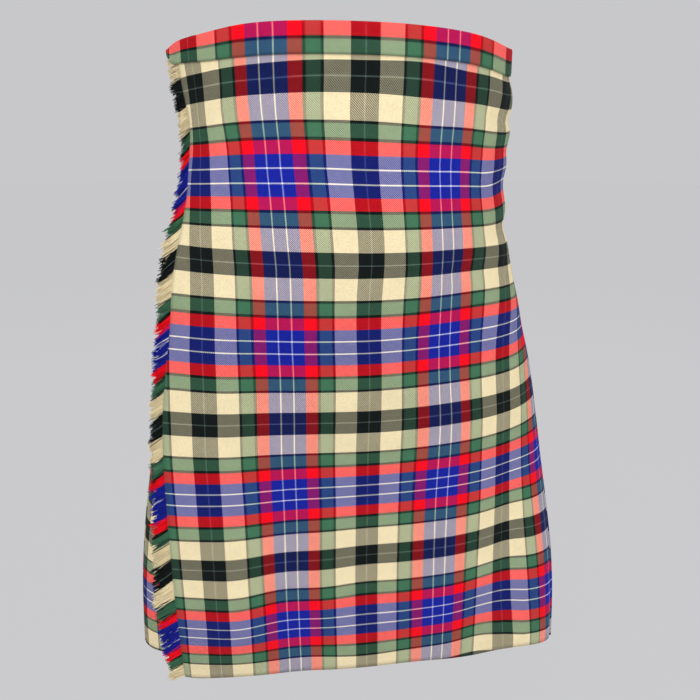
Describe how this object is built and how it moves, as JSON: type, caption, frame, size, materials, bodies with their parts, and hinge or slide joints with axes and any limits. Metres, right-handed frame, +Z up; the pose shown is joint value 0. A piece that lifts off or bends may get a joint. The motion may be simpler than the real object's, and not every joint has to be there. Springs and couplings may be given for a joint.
{
  "type": "scottish kilt",
  "caption": "Wrap-over tartan kilt in its worn shape: fringed front apron, knife pleats round the back, narrow waistband and buckled side straps round an empty hollow.",
  "frame": {"origin": "middle of the waist, halfway up the waistband, where the wearer's body holds the kilt", "axes": "+Z up the body, -Y towards the front with the fringed apron, +X to the right of someone who looks at that apron"},
  "size_m": [0.4806, 0.3002, 0.6232],
  "materials": {
    "apron_cloth": "twilled wool tartan",
    "pleat_cloth": "twilled wool tartan",
    "band_cloth": "twilled wool tartan",
    "fringe_yarn": "loose wool yarn",
    "strap_leather": "black, semi-matt",
    "buckle_metal": "polished nickel"
  },
  "bodies": {
    "root": {"front_apron": "apron_cloth", "under_apron": "apron_cloth", "waistband": "band_cloth", "under_waistband": "band_cloth", "apron_fringe": "fringe_yarn", "pleat_01": "pleat_cloth", "pleat_02": "pleat_cloth", "pleat_03": "pleat_cloth", "pleat_04": "pleat_cloth", "pleat_05": "pleat_cloth", "pleat_06": "pleat_cloth", "pleat_07": "pleat_cloth", "pleat_08": "pleat_cloth", "pleat_09": "pleat_cloth", "pleat_10": "pleat_cloth", "pleat_11": "pleat_cloth", "pleat_12": "pleat_cloth", "pleat_13": "pleat_cloth", "pleat_14": "pleat_cloth", "pleat_15": "pleat_cloth", "pleat_16": "pleat_cloth", "pleat_17": "pleat_cloth", "pleat_18": "pleat_cloth", "pleat_19": "pleat_cloth", "pleat_20": "pleat_cloth", "pleat_21": "pleat_cloth", "pleat_22": "pleat_cloth", "right_strap": "strap_leather", "right_buckle_tab": "strap_leather", "right_buckle": "buckle_metal", "right_prong": "buckle_metal", "left_strap": "strap_leather", "left_buckle_tab": "strap_leather", "left_buckle": "buckle_metal", "left_prong": "buckle_metal"}
  },
  "joints": []
}
